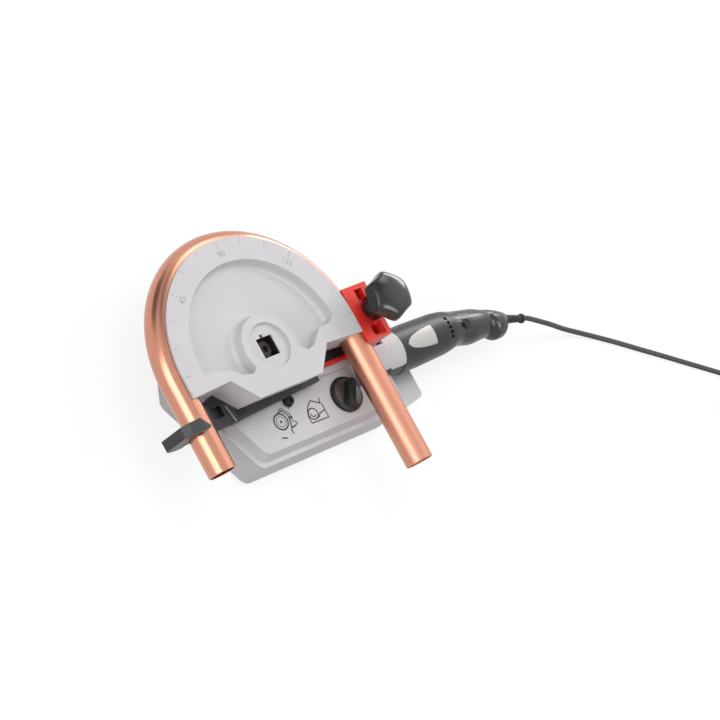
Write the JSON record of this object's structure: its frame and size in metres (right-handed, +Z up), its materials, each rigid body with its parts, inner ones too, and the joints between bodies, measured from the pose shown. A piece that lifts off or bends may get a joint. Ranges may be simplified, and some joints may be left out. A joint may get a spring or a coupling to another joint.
{
  "type": "electric pipe bender",
  "caption": "Bench pipe bender: geared electric motor turns a grooved bending former, with a pipe hook, a clamped red slide carriage and a bent copper pipe in place.",
  "frame": {"origin": "on the floor under the middle of the object's box, without the cord", "axes": "+Z up along the bending former's axis, +X along the motor towards its handle, -Y to the operator's side"},
  "size_m": [1.0583, 0.6224, 0.1693],
  "materials": {
    "cast_grey": "satin painted casting",
    "dark_plastic": "fine grained moulded plastic",
    "black_plastic": "glossy moulded plastic",
    "rubber": "soft matt rubber",
    "copper": "drawn copper",
    "red_cast": "red powder coat",
    "steel": "turned steel",
    "black_steel": "phosphated steel",
    "bronze": "sintered bronze",
    "badge": "brushed plate",
    "black_matt": "matt moulded plastic"
  },
  "bodies": {
    "base": {"base_housing": "cast_grey", "bottom_plate": "steel", "rubber_feet": "rubber", "plate_screws": "steel", "spindle_bushes": "bronze", "idler_bushes": "bronze", "worm_bearings": "steel", "guide_rail": "black_steel", "motor_housing": "dark_plastic", "stator": "steel", "brush_holders": "bronze", "motor_bearing": "steel", "saddle_cap": "cast_grey", "saddle_screws": "steel", "motor_badge": "badge", "handle_upper": "dark_plastic", "handle_lower": "dark_plastic", "switch_module": "black_matt", "potentiometer": "steel", "strain_relief": "rubber", "cord_lead": "rubber", "cord_coil": "rubber", "mains_plug": "rubber", "plug_pins": "steel"},
    "former": {"bending_former": "cast_grey", "output_spindle": "steel", "output_gear": "steel", "spindle_bolt": "steel", "copper_pipe": "copper"},
    "hook": {"pipe_hook": "black_steel"},
    "idler": {"pinion_shaft": "steel", "worm_wheel": "bronze"},
    "rotor": {"worm_shaft": "steel", "worm": "steel", "armature": "steel", "commutator": "copper", "cooling_fan": "black_matt"},
    "carriage": {"slide_carriage": "red_cast", "clamp_nut": "steel"},
    "star": {"star_knob": "black_plastic", "clamp_screw": "steel"},
    "dial": {"dial_knob": "black_matt", "dial_shaft": "steel"},
    "trigger": {"switch_trigger": "black_matt"},
    "lever": {"direction_lever": "black_matt"}
  },
  "joints": [
    {"name": "former_turn", "type": "hinge", "parent": "base", "child": "former", "pos_m": [-0.13145, 0.02025, 0.094], "axis": [0, 0, 1], "range_deg": [-180, 0]},
    {"name": "idler_spin", "type": "hinge", "parent": "base", "child": "idler", "pos_m": [-0.04263, 0.00575, 0.03], "axis": [0, 0, 1], "range_deg": [0, 540]},
    {"name": "rotor_spin", "type": "hinge", "parent": "base", "child": "rotor", "pos_m": [-0.04263, -0.03175, 0.041], "axis": [1, 0, 0], "range_deg": [-12960, 0]},
    {"name": "hook_slide", "type": "slide", "parent": "former", "child": "hook", "axis": [-1, 0, 0], "range_m": [0, 0.042]},
    {"name": "carriage_slide", "type": "slide", "parent": "base", "child": "carriage", "axis": [1, 0, 0], "range_m": [0, 0.017]},
    {"name": "star_turn", "type": "hinge", "parent": "carriage", "child": "star", "pos_m": [0.03855, 0.01525, 0.14], "axis": [0, 0, 1], "range_deg": [0, 180]},
    {"name": "dial_turn", "type": "hinge", "parent": "base", "child": "dial", "pos_m": [-0.01045, -0.06075, 0.06], "axis": [0, 0, 1], "range_deg": [-150, 150]},
    {"name": "trigger_press", "type": "slide", "parent": "base", "child": "trigger", "axis": [0, 0, 1], "range_m": [0, 0.004], "stiffness_N_per_m": 600, "springref_m": -0.002},
    {"name": "lever_turn", "type": "hinge", "parent": "base", "child": "lever", "pos_m": [0.22355, -0.03775, 0.06], "axis": [0, 0, 1], "range_deg": [-20, 20]}
  ],
  "couplings": [
    {"joint": "idler_spin", "follows": "former_turn", "ratio": -3},
    {"joint": "rotor_spin", "follows": "former_turn", "ratio": 72}
  ]
}
